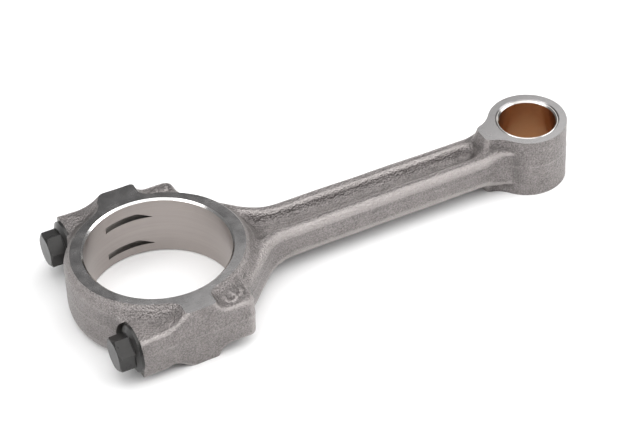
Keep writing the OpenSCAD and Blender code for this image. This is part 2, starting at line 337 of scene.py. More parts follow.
def boss_field(s, block):
    """Bolt bosses and pads of both halves, as one block across the big end."""
    x, up = block.x, block.up
    side = block.out - (BOSS_HALF - s.boss_draft * up + s.cap_spread * np.maximum(-x, 0))
    plan = round_meet(side, x - s.rod_boss_end, s.corner_round)
    plan = np.maximum(plan, -x - s.cap_boss_raw)
    neck = ease(-x, 0.3 * s.rod_boss_end, 0.5 * s.rod_boss_end) * -s.lug_neck
    lug = ease(-x, 0.5 * s.rod_boss_end, 0.7 * s.rod_boss_end) * (s.lug_neck + s.lug_depth)
    height = s.boss_height + np.where(block.z < 0, neck + lug, np.where(block.y < 0, neck, 0))
    far_end = s.far_pad_end - s.far_pad_trim * ease(block.out, 0.84 * BOSS_HALF, BOSS_HALF)
    cap_end = np.where(block.y < 0, s.near_pad_end, far_end)
    above = up - HALF_WIDTH
    rod_flank = (x - s.rod_pad_end) * math.cos(s.rod_pad_lean) + above * math.sin(s.rod_pad_lean)
    cap_flank = (-x - cap_end) * math.cos(s.cap_pad_lean) + above * math.sin(s.cap_pad_lean)
    top = round_union(up - height, np.maximum(rod_flank, cap_flank), s.pad_fillet)
    return round_meet(plan, top, s.edge_round)


def shank_edge(s, x, inset):
    """Half width of the shank at x, moved inwards by inset, and the cosine of its edge's slope."""
    line = (CRANK_R + s.flare_wall - inset) * math.sqrt(2)
    big, small = s.half_big - inset, s.half_small - inset
    flare_r, blend_r = s.flare_r + inset, s.eye_blend_r + inset
    flare_x = line + flare_r * math.sqrt(2) - big - flare_r
    flare_start = flare_x - flare_r / math.sqrt(2)
    reach = EYE_R - inset + blend_r
    blend_x = PIN_X - math.sqrt(reach ** 2 - (small + blend_r) ** 2)
    blend_end = blend_x + blend_r * (PIN_X - blend_x) / reach
    straight = big + (small - big) * (x - flare_x) / (blend_x - flare_x)
    flare = big + flare_r - np.sqrt(np.maximum(flare_r ** 2 - (x - flare_x) ** 2, 0))
    blend = small + blend_r - np.sqrt(np.maximum(blend_r ** 2 - (x - blend_x) ** 2, 0))
    eye = np.sqrt(np.maximum((EYE_R - inset) ** 2 - (x - PIN_X) ** 2, 0))
    eye = eye - 2.5 * MM * ease(x, blend_end, PIN_X - 0.2 * EYE_R)
    half = np.select(
        [x < flare_start, x < flare_x, x < blend_x, x < blend_end], [line - x, flare, straight, blend], eye)
    half = np.minimum(half, 0.8 * BOSS_HALF)
    slope = np.gradient(half[:, 0, 0], x[1, 0, 0] - x[0, 0, 0])
    return half, (1 / np.hypot(1, slope)).astype(np.float32)[:, None, None]


def channel_field(s, block):
    """Channel in one side of the shank, between the ring's slope and the small end."""
    half, lean = shank_edge(s, block.x, s.flange_width)
    rise = block.up - s.half_height
    wall = (block.out - half - s.wall_lean * rise) * lean
    end = (block.x - s.channel_end - s.channel_ramp * rise) / math.hypot(1, s.channel_ramp)
    foot = s.ramp_foot - s.ramp_run * (block.up - s.half_web)
    ramp = (foot - np.hypot(block.x, block.y)) / math.hypot(1, s.ramp_run)
    plan = round_meet(wall, end, s.half_small - s.flange_width)
    plan = round_meet(plan, ramp, s.floor_round)
    return round_meet(plan, s.half_web - block.up, s.floor_round)


def shank_field(s, block):
    """I-section shank that flares into the ring at one end and rises to the small end."""
    half, lean = shank_edge(s, block.x, 0)
    settle = ease(block.x, s.ramp_foot - s.flange_width, 1.3 * s.ramp_foot)
    rise = ease(block.x, s.neck_x - s.flange_width, s.neck_x + s.flange_width)
    height = s.root_height + (s.half_height - s.root_height) * settle
    height = height + (s.neck_height - s.half_height) * rise
    flank = (block.out - half) * lean + 0 * block.z
    bevel = flank * math.cos(s.bevel_lean) + (block.up - height) * math.sin(s.bevel_lean)
    bulge = s.flank_bulge * (1 - ease(block.x, PIN_X - 1.5 * EYE_R, PIN_X - 0.7 * EYE_R))
    body = round_meet(round_meet(flank - bulge, bevel, s.bevel_round), block.up - height, s.flange_round)
    body = np.maximum(body, np.maximum(0.5 * s.rod_boss_end - block.x, block.x - PIN_X))
    return round_cut(body, channel_field(s, block), s.lip_round)


def small_end_field(s, block):
    """Eye for the bush with the tail that is machined with it."""
    eye = np.hypot(block.x - PIN_X, block.y) - EYE_R
    above = block.up - HALF_WIDTH
    front = (PIN_X - s.tail_front - block.x) * math.cos(s.tail_lean) + above * math.sin(s.tail_lean)
    side = (block.out - s.tail_half) + 0.12 * above
    tail = np.maximum(round_meet(side, front, s.tail_corner), block.x - PIN_X)
    return round_union(eye, tail, s.tail_fillet)


def mark_field(s, block):
    """Small raised foundry marks in the pockets of the rod: a ring with a dot, and short bars."""
    stroke, lift = 0.65 * MM, 0.9 * MM

    def dot(x, y, r):
        return np.hypot(block.x - x, block.y - y) - r

    def bar(x0, y0, x1, y1):
        dx, dy = x1 - x0, y1 - y0
        along = np.clip(((block.x - x0) * dx + (block.y - y0) * dy) / (dx * dx + dy * dy), 0, 1)
        return np.hypot(block.x - x0 - along * dx, block.y - y0 - along * dy) - stroke

    near_x, near_y = 0.62 * s.rod_boss_end, -0.86 * BOSS_HALF
    marks = [np.abs(dot(near_x, near_y, 2.3 * MM)) - stroke]
    marks += [bar(near_x + 4.6 * MM, near_y - 0.2 * MM, near_x + 5.6 * MM, near_y + 2.6 * MM)]
    far_y = 0.88 * BOSS_HALF
    for step in range(4):
        x = 0.55 * s.rod_boss_end + step * 2.1 * MM
        marks.append(bar(x, far_y - 2 * MM, x + 0.8 * MM, far_y + (step % 2) * MM - 0.6 * MM))
    flat = marks[0]
    for mark in marks[1:]:
        flat = np.minimum(flat, mark)
    return np.maximum(flat, np.abs(block.up - s.boss_height) - lift)


def ripple_field(s, block):
    """Slow unevenness of a forged skin: a sum of plane waves in random directions."""
    rng = np.random.default_rng(s.seed)
    total = 0
    for wave in (9, 13, 17, 26):
        direction = rng.normal(size=3)
        direction *= 2 * math.pi / (wave * MM) / np.linalg.norm(direction)
        phase = rng.uniform(0, 2 * math.pi)
        total = total + np.sin(
            block.x * direction[0] + block.y * direction[1] + block.z * direction[2] + phase)
    return s.ripple * total / 2


def forging_field(s, block):
    """The whole forging, rod and cap in one, before any machining."""
    big_end = round_union(ring_field(s, block), boss_field(s, block), s.root_round)
    small_end = small_end_field(s, block)
    field = round_union(big_end, shank_field(s, block), s.floor_round)
    neck_round = s.neck_round * (1 - 0.9 * ease(block.out, 0.3 * EYE_R, 0.6 * EYE_R))
    field = round_union(field, small_end + 0 * block.z, neck_round)
    field = round_union(field, mark_field(s, block), 0.2 * MM)
    flash = s.flash_height * np.exp(-(((block.z - s.flash_z) / (0.8 * MM)) ** 2))
    field = soften(field - flash + ripple_field(s, block))
    return np.maximum(field, block.up - HALF_WIDTH - 1.5 * MM).astype(np.float32)


def soften(field):
    """Averages each corner with its neighbours, which rounds creases finer than a cell."""
    for axis in range(3):
        field = field / 2 + (np.roll(field, 1, axis) + np.roll(field, -1, axis)) / 4
    return field


def ridges(field, cell):
    """Curvature of the surface near each corner, from -1 in a tight fillet to 1 on a tight edge."""
    total = -6 * field
    for axis in range(3):
        total = total + np.roll(field, 1, axis) + np.roll(field, -1, axis)
    tight = 1 / (2.2 * MM)
    return np.clip(total / cell ** 2 / tight, -1, 1)


# ---- Mesh helpers ----


def new_object(name, mesh, materials=()):
    """An object at the origin, linked to the scene."""
    for material in materials:
        mesh.materials.append(material)
    obj = bpy.data.objects.new(name, mesh)
    bpy.context.scene.collection.objects.link(obj)
    return obj


def apply_modifiers(obj):
    """Puts what the modifiers make into the object's own mesh."""
    depsgraph = bpy.context.evaluated_depsgraph_get()
    mesh = bpy.data.meshes.new_from_object(obj.evaluated_get(depsgraph))
    obj.modifiers.clear()
    old = obj.data
    obj.data = mesh
    bpy.data.meshes.remove(old)
    return obj


def combine(obj, other, operation):
    """One exact boolean, which uses up the other object. New faces keep its materials."""
    modifier = obj.modifiers.new("Cut", "BOOLEAN")
    modifier.solver = "MANIFOLD"
    modifier.operation = operation
    modifier.material_mode = "TRANSFER"
    modifier.object = other
    apply_modifiers(obj)
    bpy.data.objects.remove(other)
    if not obj.data.polygons:
        raise RuntimeError(f"nothing is left of {obj.name} after a cut")
    return obj


def box_object(name, low, high, material):
    """A box between two corners."""
    mesh = bpy.data.meshes.new(name)
    shape = bmesh.new()
    bmesh.ops.create_cube(shape, size=1)
    low, high = Vector(low), Vector(high)
    bmesh.ops.transform(shape, verts=shape.verts, matrix=Matrix.Translation((low + high) / 2)
                        @ Matrix.Diagonal((*(high - low), 1)))
    shape.to_mesh(mesh)
    shape.free()
    return new_object(name, mesh, [material])


def turned_mesh(name, profile, columns, centre=(0, 0, 0), axis="Z", slots=None):
    """A closed turned shape. The profile is a loop of (radius, height) points, or an open line whose
    ends lie on the axis. Slots give the material of each step from a point to the next."""
    closed = profile[0][0] > 0
    shape = bmesh.new()
    angles = [2 * math.pi * i / columns for i in range(columns)]
    rings = []
    for radius, height in profile:
        if radius <= 0:
            rings.append([shape.verts.new((0, 0, height))] * columns)
        else:
            rings.append([shape.verts.new((radius * math.cos(a), radius * math.sin(a), height)) for a in angles])
    steps = len(profile) if closed else len(profile) - 1
    for k in range(steps):
        lower, upper = rings[k], rings[(k + 1) % len(rings)]
        for i in range(columns):
            j = (i + 1) % columns
            corners = list(dict.fromkeys([lower[i], lower[j], upper[j], upper[i]]))
            face = shape.faces.new(corners)
            face.material_index = slots[k] if slots else 0
    bmesh.ops.recalc_face_normals(shape, faces=shape.faces)
    turn = {"Z": Matrix.Identity(4), "X": Matrix.Rotation(math.pi / 2, 4, "Y")}[axis]
    shape.transform(Matrix.Translation(centre) @ turn)
    mesh = bpy.data.meshes.new(name)
    shape.to_mesh(mesh)
    shape.free()
    return mesh


def shade(obj, sharp_angle):
    """Smooth shading, with hard edges where the finish changes or the surface turns sharply."""
    shape = bmesh.new()
    shape.from_mesh(obj.data)
    for face in shape.faces:
        face.smooth = True
    for edge in shape.edges:
        if len(edge.link_faces) == 2:
            one, two = edge.link_faces
            same = one.material_index == two.material_index
            edge.smooth = same and edge.calc_face_angle(0) < sharp_angle
    shape.to_mesh(obj.data)
    shape.free()


# ---- Node helpers ----


def add(tree, kind, inputs=None, **settings):
    """Adds a node. Inputs are values or sockets, by name or by number."""
    node = tree.nodes.new(kind)
    for key, value in settings.items():
        setattr(node, key, value)
    for key, value in (inputs or {}).items():
        if isinstance(value, bpy.types.NodeSocket):
            tree.links.new(value, node.inputs[key])
        else:
            node.inputs[key].default_value = value
    return node


def calc(tree, operation, a, b=0.0, c=None, clamp=False):
    """One step of arithmetic, in a shader or a geometry tree."""
    inputs = {0: a, 1: b} if c is None else {0: a, 1: b, 2: c}
    return add(tree, "ShaderNodeMath", inputs, operation=operation, use_clamp=clamp).outputs[0]


def remap(tree, value, low, high, to_low=0.0, to_high=1.0):
    """Maps a value from one range to another and keeps it there."""
    inputs = {"Value": value, "From Min": low, "From Max": high, "To Min": to_low, "To Max": to_high}
    return add(tree, "ShaderNodeMapRange", inputs, clamp=True).outputs["Result"]


def mix_colours(tree, amount, a, b):
    """Blends two colours, given as RGB or as sockets."""
    def rgba(value):
        return value if isinstance(value, bpy.types.NodeSocket) else (*value, 1)
    node = add(tree, "ShaderNodeMix", {0: amount, 6: rgba(a), 7: rgba(b)}, data_type="RGBA")
    return node.outputs[2]


def new_group(kind, name, inputs, outputs):
    """A node group with named sockets, its input node and its output node."""
    tree = bpy.data.node_groups.new(name, kind)
    for title, socket_type, value in inputs:
        socket = tree.interface.new_socket(name=title, in_out="INPUT", socket_type=socket_type)
        if value is not None:
            socket.default_value = value
    for title, socket_type in outputs:
        tree.interface.new_socket(name=title, in_out="OUTPUT", socket_type=socket_type)
    return tree, tree.nodes.new("NodeGroupInput").outputs, tree.nodes.new("NodeGroupOutput").inputs


def noise(tree, vector, size, detail=2.0, roughness=0.5):
    """Noise whose features are about one size long, in metres."""
    scale = calc(tree, "DIVIDE", 1.0, size) if isinstance(size, bpy.types.NodeSocket) else 1 / size
    inputs = {"Vector": vector, "Scale": scale, "Detail": detail, "Roughness": roughness}
    return add(tree, "ShaderNodeTexNoise", inputs).outputs["Fac"]


def grain_group():
    """Marks of shot-blasting: fine pits, with slower mottling over them."""
    tree, given, out = new_group(
        "ShaderNodeTree", "Blasted grain",
        [("Vector", "NodeSocketVector", None), ("Size", "NodeSocketFloat", 0.0005)],
        [("Height", "NodeSocketFloat"), ("Shade", "NodeSocketFloat"), ("Mottle", "NodeSocketFloat")])
    vector, size = given["Vector"], given["Size"]
    fine = noise(tree, vector, size, 3.0, 0.65)
    pits = add(tree, "ShaderNodeTexVoronoi", {
        "Vector": vector, "Scale": calc(tree, "DIVIDE", 0.75, size), "Randomness": 1.0}, feature="F1")
    pit = remap(tree, pits.outputs["Distance"], 0.0, 0.75)
    height = calc(tree, "ADD", calc(tree, "MULTIPLY", fine, 0.65), calc(tree, "MULTIPLY", pit, 0.35))
    mottle = noise(tree, vector, calc(tree, "MULTIPLY", size, 9.0), 3.0, 0.6)
    tree.links.new(height, out["Height"])
    tree.links.new(remap(tree, fine, 0.36, 0.64), out["Shade"])
    tree.links.new(remap(tree, mottle, 0.32, 0.68), out["Mottle"])
    return tree


def tool_mark_group():
    """Fine parallel marks of a cutting tool. The stretch vector squeezes them into lines."""
    tree, given, out = new_group(
        "ShaderNodeTree", "Tool marks",
        [("Vector", "NodeSocketVector", None), ("Stretch", "NodeSocketVector", (1, 1, 1)),
         ("Size", "NodeSocketFloat", 0.001)],
        [("Height", "NodeSocketFloat"), ("Shade", "NodeSocketFloat")])
    stretched = add(tree, "ShaderNodeVectorMath", {0: given["Vector"], 1: given["Stretch"]}, operation="MULTIPLY")
    lines = noise(tree, stretched.outputs[0], given["Size"], 2.0, 0.6)
    broad = noise(tree, stretched.outputs[0], calc(tree, "MULTIPLY", given["Size"], 5.0), 2.0, 0.5)
    tree.links.new(lines, out["Height"])
    tree.links.new(calc(tree, "ADD", calc(tree, "MULTIPLY", lines, 0.4), calc(tree, "MULTIPLY", broad, 0.6)),
                   out["Shade"])
    return tree


def shared_group(maker):
    """The group that this function makes, built only once."""
    key = maker.__name__
    if key not in SHARED:
        SHARED[key] = maker()
    return SHARED[key]


SHARED = {}


def use_group(tree, maker, **inputs):
    """Places a shared group in a tree and returns its outputs."""
    node = tree.nodes.new("ShaderNodeGroup")
    node.node_tree = shared_group(maker)
    for key, value in inputs.items():
        if isinstance(value, bpy.types.NodeSocket):
            tree.links.new(value, node.inputs[key])
        else:
            node.inputs[key].default_value = value
    return node.outputs


def start_material(name, **constants):
    """A material with only a Principled shader. Returns it, its tree, the shader and the coordinates."""
    material = bpy.data.materials.new(name)
    material.use_nodes = True
    tree = material.node_tree
    tree.nodes.clear()
    shader = add(tree, "ShaderNodeBsdfPrincipled", {k.replace("_", " "): v for k, v in constants.items()})
    add(tree, "ShaderNodeOutputMaterial", {"Surface": shader.outputs["BSDF"]})
    place = add(tree, "ShaderNodeTexCoord").outputs["Object"]
    return material, tree, shader, place


def bump(tree, shader, height, strength, distance):
    """Raises the surface by a height, up to the distance in metres."""
    node = add(tree, "ShaderNodeBump", {"Height": height, "Strength": strength, "Distance": distance})
    tree.links.new(node.outputs["Normal"], shader.inputs["Normal"])


def scaled(rgb, amount):
    """A colour made brighter or darker."""
    return tuple(min(1.0, channel * amount) for channel in rgb)


def forged_steel(s):
    """Shot-blasted skin of the forging. Its ridges are lighter, partly from harder blasting and mostly as a painted
    highlight, and its corners are darker as painted shade.
    """
    material, tree, shader, place = start_material("Forged steel", Metallic=1.0)
    grain = use_group(tree, grain_group, Vector=place, Size=s.grain)
    ridge = add(tree, "ShaderNodeAttribute", attribute_name="ridge").outputs["Fac"]
    # Ridge mask: lighter ridges are partly harder blasting and mostly a painted highlight.
    ridge_blast_and_highlight = remap(tree, ridge, 0.25, 1.0)
    # Corner mask: darker fillets and corners are painted shade.
    corner_painted_shade = remap(tree, ridge, -0.2, -1.0)
    shade_mix = calc(tree, "ADD", calc(tree, "MULTIPLY", grain["Shade"], 0.75),
                     calc(tree, "MULTIPLY", grain["Mottle"], 0.25))
    base = mix_colours(tree, shade_mix, scaled(s.forged, 0.64), scaled(s.forged, 1.62))
    # Painted highlight, with some blasting wear: ridges are mixed towards a much lighter colour.
    base = mix_colours(tree, calc(tree, "MULTIPLY", ridge_blast_and_highlight, 0.6), base, scaled(s.forged, 2.1))
    # Painted shade: fillets and corners are mixed towards a colour half as light.
    base = mix_colours(tree, calc(tree, "MULTIPLY", corner_painted_shade, 0.5), base, scaled(s.forged, 0.5))
    tree.links.new(base, shader.inputs["Base Color"])
    tree.links.new(remap(tree, grain["Mottle"], 0, 1, 0.34, 0.46), shader.inputs["Roughness"])
    bump(tree, shader, grain["Height"], 1.0, 0.9 * MM)
    return material


def ground_steel(s):
    """Ground thrust faces with fine straight marks."""
    material, tree, shader, place = start_material("Ground steel", Metallic=1.0)
    marks = use_group(tree, tool_mark_group, Vector=place, Stretch=(1, 14, 1), Size=0.006)
    grain = use_group(tree, grain_group, Vector=place, Size=s.grain)
    shade_mix = calc(tree, "ADD", calc(tree, "MULTIPLY", marks["Shade"], 0.6),
                     calc(tree, "MULTIPLY", grain["Mottle"], 0.4))
    tree.links.new(mix_colours(tree, shade_mix, scaled(s.ground, 0.85), scaled(s.ground, 1.12)),
                   shader.inputs["Base Color"])
    tree.links.new(remap(tree, grain["Mottle"], 0, 1, 0.18, 0.28), shader.inputs["Roughness"])
    bump(tree, shader, calc(tree, "ADD", marks["Height"], calc(tree, "MULTIPLY", grain["Height"], 0.5)),
         0.2, 0.05 * MM)
    return material


def bored_metal(name, rgb, roughness, stretch, strength, **constants):
    """A bore with fine marks that run round it."""
    material, tree, shader, place = start_material(name, Metallic=1.0, **constants)
    marks = use_group(tree, tool_mark_group, Vector=place, Stretch=stretch, Size=0.012)
    tree.links.new(mix_colours(tree, marks["Shade"], scaled(rgb, 0.85), scaled(rgb, 1.15)),
                   shader.inputs["Base Color"])
    tree.links.new(remap(tree, marks["Shade"], 0.2, 0.8, roughness * 0.85, roughness * 1.15),
                   shader.inputs["Roughness"])
    bump(tree, shader, marks["Height"], strength, 0.03 * MM)
    return material


def cut_metal(name, rgb, roughness, metallic=1.0):
    """A plain machined cut with faint cloudiness."""
    material, tree, shader, place = start_material(name, Metallic=metallic)
    grain = use_group(tree, grain_group, Vector=place, Size=0.0004)
    tree.links.new(mix_colours(tree, grain["Mottle"], scaled(rgb, 0.88), scaled(rgb, 1.12)),
                   shader.inputs["Base Color"])
    tree.links.new(remap(tree, grain["Mottle"], 0, 1, roughness * 0.9, roughness * 1.1),
                   shader.inputs["Roughness"])
    bump(tree, shader, grain["Height"], 0.15, 0.05 * MM)
    return material


def finishes(s):
    """Every finish by name, made once."""
    if not FINISHES:
        round_marks = (1, 1, 60)
        FINISHES.update(
            forged=forged_steel(s),
            ground=ground_steel(s),
            honed=bored_metal("Honed steel", s.honed, 0.3, round_marks, 0.35),
            polished=cut_metal("Polished steel", s.polished, 0.16),
            drilled=cut_metal("Drilled steel", s.drilled, 0.42),
            bush=cut_metal("Bush steel", s.bush, 0.2),
            bronze=bored_metal("Bronze", s.bronze, 0.24, round_marks, 0.3, Anisotropic=0.9, Anisotropic_Rotation=0.25),
            black=cut_metal("Black oxide", s.black, 0.3, 0.6),
            worn=cut_metal("Worn oxide", s.worn, 0.35, 0.9),
        )
    return FINISHES


FINISHES = {}


# ---- Operators ----


class CONROD_OT_forgings(bpy.types.Operator):
    """Form, machine and split the forging into the rod and its cap"""

    bl_idname = "conrod.forgings"
    bl_label = "Rod and Cap"

    def execute(self, context):
        s, cut = context.scene.conrod_forging, context.scene.conrod_machining
        look = finishes(context.scene.conrod_finish)
        room = 3 * MM
        low = (CAP_LOW.x - room, -BOSS_HALF - room, -HALF_WIDTH - room)
        high = (ROD_HIGH.x + room, BOSS_HALF + room, HALF_WIDTH + room)
        block = Block(low, high, s.cell)
        field = forging_field(s, block)
        skin = block.mesh("Forging", field)
        forging = new_object("Forging", skin, [look["forged"]])
        self.machine(forging, cut, look)
        rod = self.half(forging, "forged_rod", 1, look["drilled"])
        cap = self.half(forging, "forged_cap", -1, look["drilled"])
        bpy.data.objects.remove(forging)
        curvature = ridges(field, s.cell)
        for piece, body, node in ((rod, "rod", "rod_forging"), (cap, "cap", "big_end_cap")):
            shade(piece, math.radians(35))
            self.mark_ridges(piece, block, curvature)
            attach(piece, body)
            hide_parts(node)
        return {"FINISHED"}

    def machine(self, forging, cut, look):
        """Grinds the faces, bores both ends, drills the bolt holes and mills the bolt seats."""
        slab = box_object("Slab", (-OUTSIDE, -OUTSIDE, -HALF_WIDTH), (OUTSIDE, OUTSIDE, HALF_WIDTH), look["ground"])
        combine(forging, slab, "INTERSECT")
        combine(forging, self.bore("Crank bore", 0, CRANK_R, cut.crank_chamfer,
                                   [look["honed"], look["polished"]]), "DIFFERENCE")
        combine(forging, self.bore("Eye bore", PIN_X, BUSH_R, cut.eye_chamfer,
                                   [look["drilled"], look["ground"]]), "DIFFERENCE")
        for z in (cut.upper_notch, -cut.lower_notch):
            combine(forging, self.notch(cut, z, look["drilled"]), "DIFFERENCE")
        for side in (NEAR, FAR):
            y = side * BOLT_Y
            for name, radius, end in (("Hole", cut.bolt_hole_r, 40 * MM), ("Seat", cut.seat_r, -cut.seat_x)):
                outline = [(0, -60 * MM), (radius, -60 * MM), (radius, end), (0, end)]
                tool = turned_mesh(name, outline, 72, centre=(0, y, 0), axis="X")
                combine(forging, new_object(name, tool, [look["drilled"]]), "DIFFERENCE")
            edges = sorted((y, side * OUTSIDE))
            mill = box_object("Mill", (-OUTSIDE, edges[0], -OUTSIDE), (-cut.seat_x, edges[1], OUTSIDE), look["drilled"])
            combine(forging, mill, "DIFFERENCE")

    def bore(self, name, x, radius, chamfer, materials):
        """A cutter for a bore with chamfered mouths. The chamfer has the second material."""
        past = 4 * MM
        top, wide = HALF_WIDTH + past, radius + chamfer + past
        outline = [(0, -top), (wide, -top), (radius, -HALF_WIDTH + chamfer),
                   (radius, HALF_WIDTH - chamfer), (wide, top), (0, top)]
        mesh = turned_mesh(name, outline, 192, centre=(x, 0, 0), slots=[1, 1, 0, 1, 1])
        return new_object(name, mesh, materials)

    def notch(self, cut, z, material):
        """A cutter for one bearing notch, square at its end in the cap and pointed at its end in the rod."""
        centre_y = CRANK_R + cut.notch_depth - cut.notch_cutter_r
        point = math.sqrt(cut.notch_cutter_r ** 2 - (CRANK_R - cut.notch_depth) ** 2 / 4)
        stations = np.linspace(-cut.notch_end, 0.98 * point, cut.notch_stations)
        corners = []
        for x in stations:
            floor = centre_y + math.sqrt(max(cut.notch_cutter_r ** 2 - x * x, 0))
            if x < 0:
                floor = max(floor, math.sqrt((CRANK_R + 0.6 * cut.notch_depth) ** 2 - x * x))
            taper = min(1, (point - x) / (point - cut.notch_taper))
            low, high = z - cut.notch_width / 2, z + cut.notch_width * (taper - 0.5)
            inner = math.sqrt(CRANK_R ** 2 - x * x) - cut.notch_depth
            corners.append([(x, inner, low), (x, floor, low), (x, floor, high), (x, inner, high)])
        shape = bmesh.new()
        rings = [[shape.verts.new(corner) for corner in ring] for ring in corners]
        for one, two in zip(rings, rings[1:]):
            for i in range(4):
                j = (i + 1) % 4
                shape.faces.new([one[i], one[j], two[j], two[i]])
        shape.faces.new(rings[0])
        shape.faces.new(rings[-1])
        bmesh.ops.recalc_face_normals(shape, faces=shape.faces)
        mesh = bpy.data.meshes.new("Notch")
        shape.to_mesh(mesh)
        shape.free()
        return new_object("Notch", mesh, [material])

    def half(self, forging, name, side, material):
        """The part of the forging on one side of the parting plane."""
        ends = sorted((0, side * OUTSIDE))
        piece = new_object(name, forging.data.copy())
        room = box_object("Side", (ends[0], -OUTSIDE, -OUTSIDE), (ends[1], OUTSIDE, OUTSIDE), material)
        return combine(piece, room, "INTERSECT")

    def mark_ridges(self, piece, block, curvature):
        """Stores on each point how tightly the forged skin is curved there."""
        mesh = piece.data
        places = np.empty(len(mesh.vertices) * 3, np.float32)
        mesh.vertices.foreach_get("co", places)
        ridge = mesh.attributes.new("ridge", "FLOAT", "POINT")
        ridge.data.foreach_set("value", block.sample(curvature, places.reshape(-1, 3)).astype(np.float32))


class CONROD_OT_bush(bpy.types.Operator):
    """Turn the steel backing and the bronze lining of the small end's bush"""

    bl_idname = "conrod.bush"
    bl_label = "Bush"

    def execute(self, context):
        s = context.scene.conrod_bush
        look = finishes(context.scene.conrod_finish)
        inner, half = LINING_HIGH.x - PIN_X, BACKING_HIGH.z
        step = inner - PIN_R
        flush = half - (s.mouth_chamfer - step)
        backing = [(inner, -flush), (inner + half - flush, -half), (BUSH_R - s.edge, -half), (BUSH_R, s.edge - half),
                   (BUSH_R, half - s.edge), (BUSH_R - s.edge, half), (inner + half - flush, half), (inner, flush)]
        lining = [(PIN_R, step - flush), (inner, -flush), (inner, flush), (PIN_R, flush - step)]
        for name, outline, slots, node, slot in (
                ("bush_steel_backing", backing, None, "bush_backing", "bush_steel"),
                ("bush_bronze_lining", lining, [1, 0, 1, 0], "bush_lining", "bronze")):
            materials = [look["bush"]] if slots is None else [look["bronze"], look["bush"]]
            mesh = turned_mesh(name, outline, s.columns, centre=(PIN_X, 0, 0), slots=slots)
            piece = new_object(name, mesh, materials)
            shade(piece, math.radians(30))
            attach(piece, "rod")
            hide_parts(node)
        return {"FINISHED"}


def thread_tree():
    """Shank of a bolt along X with a rolled thread: a grid wrapped round the axis and closed at its ends."""
    tree, given, out = new_group(
        "GeometryNodeTree", "Threaded shank",
        [("Geometry", "NodeSocketGeometry", None), ("Radius", "NodeSocketFloat", 0.0045),
         ("Start", "NodeSocketFloat", 0.0), ("Thread start", "NodeSocketFloat", 0.027),
         ("End", "NodeSocketFloat", 0.046), ("Pitch", "NodeSocketFloat", 0.001),
         ("Depth", "NodeSocketFloat", 0.0006), ("Columns", "NodeSocketInt", 72),
         ("Rows", "NodeSocketInt", 200), ("Material", "NodeSocketMaterial", None)],
        [("Geometry", "NodeSocketGeometry")])
    plain_rows = 3.0
    rows, columns = given["Rows"], given["Columns"]
    grid = add(tree, "GeometryNodeMeshGrid", {
        "Size X": 1.0, "Size Y": 1.0, "Vertices X": rows, "Vertices Y": calc(tree, "ADD", columns, 1.0)})
    spot = add(tree, "ShaderNodeSeparateXYZ", {0: add(tree, "GeometryNodeInputPosition").outputs[0]})
    turn = calc(tree, "ADD", spot.outputs["Y"], 0.5)
    last = calc(tree, "SUBTRACT", rows, 1.0)
    row = calc(tree, "ROUND", calc(tree, "MULTIPLY", calc(tree, "ADD", spot.outputs["X"], 0.5), last))
    first_share = calc(tree, "DIVIDE", calc(tree, "SUBTRACT", row, 1.0), plain_rows, clamp=True)
    span = calc(tree, "SUBTRACT", last, plain_rows + 2)
    second_share = calc(tree, "DIVIDE", calc(tree, "SUBTRACT", row, plain_rows + 1), span, clamp=True)
    thread_length = calc(tree, "SUBTRACT", given["End"], given["Thread start"])
    plain_length = calc(tree, "SUBTRACT", given["Thread start"], given["Start"])
    along = calc(tree, "MULTIPLY_ADD", first_share, plain_length, given["Start"])
    along = calc(tree, "MULTIPLY_ADD", second_share, thread_length, along)
    into = calc(tree, "SUBTRACT", along, given["Thread start"])
    phase = calc(tree, "FRACT", calc(tree, "SUBTRACT", calc(tree, "DIVIDE", into, given["Pitch"]), turn))
    valley = calc(tree, "SUBTRACT", 1.0, calc(tree, "ABSOLUTE", calc(tree, "MULTIPLY_ADD", phase, 2.0, -1.0)))
    groove = remap(tree, valley, 0.12, 0.9)
    run_in = calc(tree, "DIVIDE", into, calc(tree, "MULTIPLY", given["Pitch"], 2.0), clamp=True)
    depth = calc(tree, "MULTIPLY", calc(tree, "MULTIPLY", groove, run_in), given["Depth"])
    to_end = calc(tree, "SUBTRACT", given["End"], along)
    point = calc(tree, "MAXIMUM", calc(tree, "SUBTRACT", given["Depth"], to_end), 0.0)
    radius = calc(tree, "SUBTRACT", given["Radius"], calc(tree, "MAXIMUM", depth, point))
    inside = calc(tree, "MULTIPLY", calc(tree, "GREATER_THAN", row, 0.5),
                  calc(tree, "LESS_THAN", row, calc(tree, "SUBTRACT", last, 0.5)))
    radius = calc(tree, "MULTIPLY", radius, inside)
    angle_round = calc(tree, "MULTIPLY", turn, 2 * math.pi)
    place = add(tree, "ShaderNodeCombineXYZ", {
        0: along, 1: calc(tree, "MULTIPLY", radius, calc(tree, "COSINE", angle_round)),
        2: calc(tree, "MULTIPLY", radius, calc(tree, "SINE", angle_round))})
    wrapped = add(tree, "GeometryNodeSetPosition", {"Geometry": grid.outputs["Mesh"], "Position": place.outputs[0]})
    closed = add(tree, "GeometryNodeMergeByDistance", {"Geometry": wrapped.outputs[0], "Distance": 1e-7})
    outward = add(tree, "GeometryNodeFlipFaces", {"Mesh": closed.outputs[0]})
    real = add(tree, "GeometryNodeRealizeInstances", {"Geometry": outward.outputs[0]})
    done = add(tree, "GeometryNodeSetMaterial", {"Geometry": real.outputs[0], "Material": given["Material"]})
    tree.links.new(done.outputs[0], out["Geometry"])
    return tree


def run_tree(name, tree, inputs):
    """The plain mesh that a geometry tree makes with these inputs."""
    carrier = new_object(name, bpy.data.meshes.new(name))
    modifier = carrier.modifiers.new(name, "NODES")
    modifier.node_group = tree
    for item in tree.interface.items_tree:
        if item.in_out == "INPUT" and item.name in inputs:
            modifier[item.identifier] = inputs[item.name]
    apply_modifiers(carrier)
    return carrier


